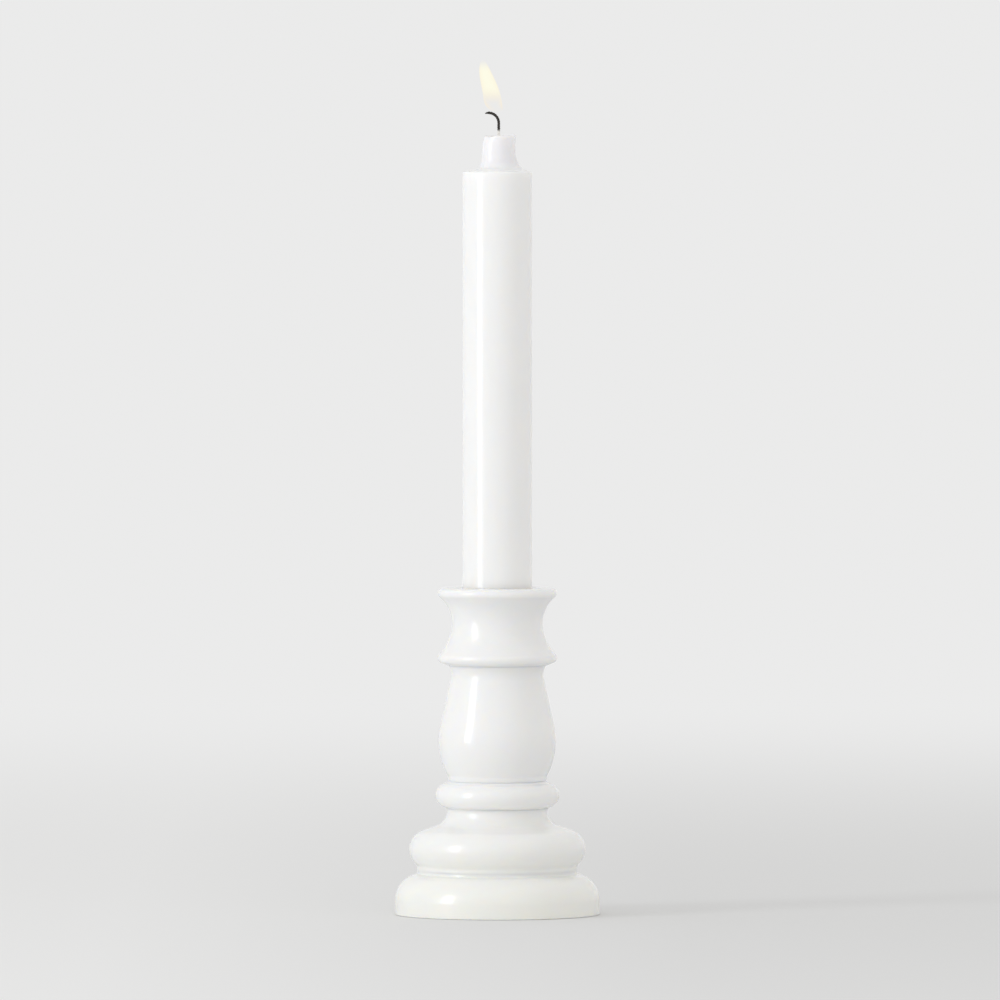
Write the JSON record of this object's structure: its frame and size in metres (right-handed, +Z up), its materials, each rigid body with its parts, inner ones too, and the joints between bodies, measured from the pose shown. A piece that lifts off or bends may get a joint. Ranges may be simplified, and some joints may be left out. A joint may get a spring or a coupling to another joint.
{
  "type": "candlestick",
  "caption": "Turned white candlestick with a ringed vase stem, a wide rolled foot and a flared cup that holds a lift-out dinner candle.",
  "frame": {"origin": "middle of the felt's underside, where the candlestick stands on the table", "axes": "+Z up along the stick's axis; +X and +Y are level, and the burnt end of the wick leans towards -X"},
  "size_m": [0.0648, 0.0648, 0.2541],
  "materials": {
    "white_lacquer": "gloss",
    "wax": "satin",
    "wick_cotton": "matte",
    "brass": "satin",
    "steel": "satin",
    "iron": "matte",
    "felt": "matte"
  },
  "bodies": {
    "stick": {"felt_pad": "felt", "foot": "white_lacquer", "base_weight": "iron", "base_bead": "white_lacquer", "lower_collar": "white_lacquer", "baluster": "white_lacquer", "candle_cup": "white_lacquer", "cup_liner": "brass", "tie_bolt": "steel", "base_washer": "steel", "lock_washer": "steel", "base_nut": "steel"},
    "candle": {"candle": "wax", "wick": "wick_cotton"}
  },
  "joints": [
    {"name": "candle_lift", "type": "slide", "parent": "stick", "child": "candle", "axis": [0, 0, 1], "range_m": [0, 0.03]}
  ]
}
